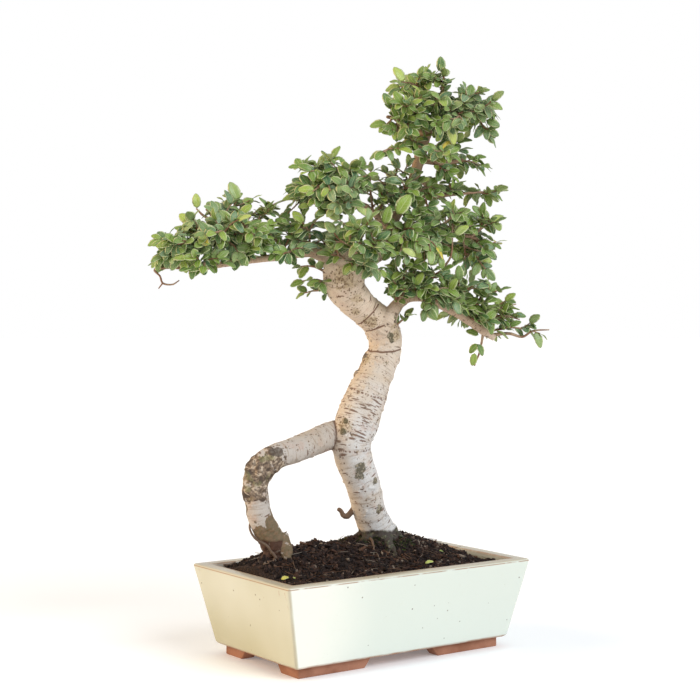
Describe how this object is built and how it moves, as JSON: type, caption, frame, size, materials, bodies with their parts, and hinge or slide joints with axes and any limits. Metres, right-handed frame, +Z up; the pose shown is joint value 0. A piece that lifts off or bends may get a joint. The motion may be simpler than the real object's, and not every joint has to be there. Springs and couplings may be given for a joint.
{
  "type": "chinese elm bonsai",
  "caption": "Potted miniature elm with an S-shaped trunk, an arched second stem, small serrated leaves in loose pads and a tapering rectangular glazed pot on corner feet",
  "frame": {"origin": "middle of the bottom of the bounding box of the whole object, on the surface that the feet rest on", "axes": "+Z up; X along the long sides of the pot, the leaning left branch towards -X; Y across the pot"},
  "size_m": [0.3116, 0.1304, 0.4429],
  "materials": {
    "glaze": "gloss",
    "soil": "matte",
    "bark": "matte",
    "leaves": "satin",
    "mesh": "matte"
  },
  "bodies": {
    "root": {"pot": "glaze", "drain_screen_left": "mesh", "drain_screen_right": "mesh", "soil": "soil", "trunk": "bark", "spray_left_01": "leaves", "spray_left_02": "leaves", "spray_left_03": "leaves", "spray_left_04": "leaves", "spray_left_05": "leaves", "spray_left_06": "leaves", "spray_left_07": "leaves", "spray_left_08": "leaves", "spray_left_09": "leaves", "spray_left_10": "leaves", "spray_left_11": "leaves", "spray_left_12": "leaves", "spray_left_13": "leaves", "spray_left_14": "leaves", "spray_left_15": "leaves", "spray_left_16": "leaves", "spray_middle_01": "leaves", "spray_middle_02": "leaves", "spray_middle_03": "leaves", "spray_middle_04": "leaves", "spray_middle_05": "leaves", "spray_middle_06": "leaves", "spray_front_01": "leaves", "spray_front_02": "leaves", "spray_front_03": "leaves", "spray_front_04": "leaves", "spray_back_01": "leaves", "spray_back_02": "leaves", "spray_back_03": "leaves", "spray_crown_01": "leaves", "spray_crown_02": "leaves", "spray_crown_03": "leaves", "spray_crown_04": "leaves", "spray_crown_05": "leaves", "spray_crown_06": "leaves", "spray_crown_07": "leaves", "spray_crown_08": "leaves", "spray_crown_09": "leaves", "spray_crown_10": "leaves", "spray_crown_11": "leaves", "spray_crown_12": "leaves", "spray_crown_13": "leaves", "spray_middle_right_01": "leaves", "spray_middle_right_02": "leaves", "spray_middle_right_03": "leaves", "spray_middle_right_04": "leaves", "spray_right_01": "leaves", "spray_right_02": "leaves", "spray_right_03": "leaves", "spray_right_04": "leaves", "spray_right_05": "leaves", "spray_right_06": "leaves", "spray_right_07": "leaves", "spray_right_08": "leaves", "spray_low_01": "leaves"}
  },
  "joints": []
}
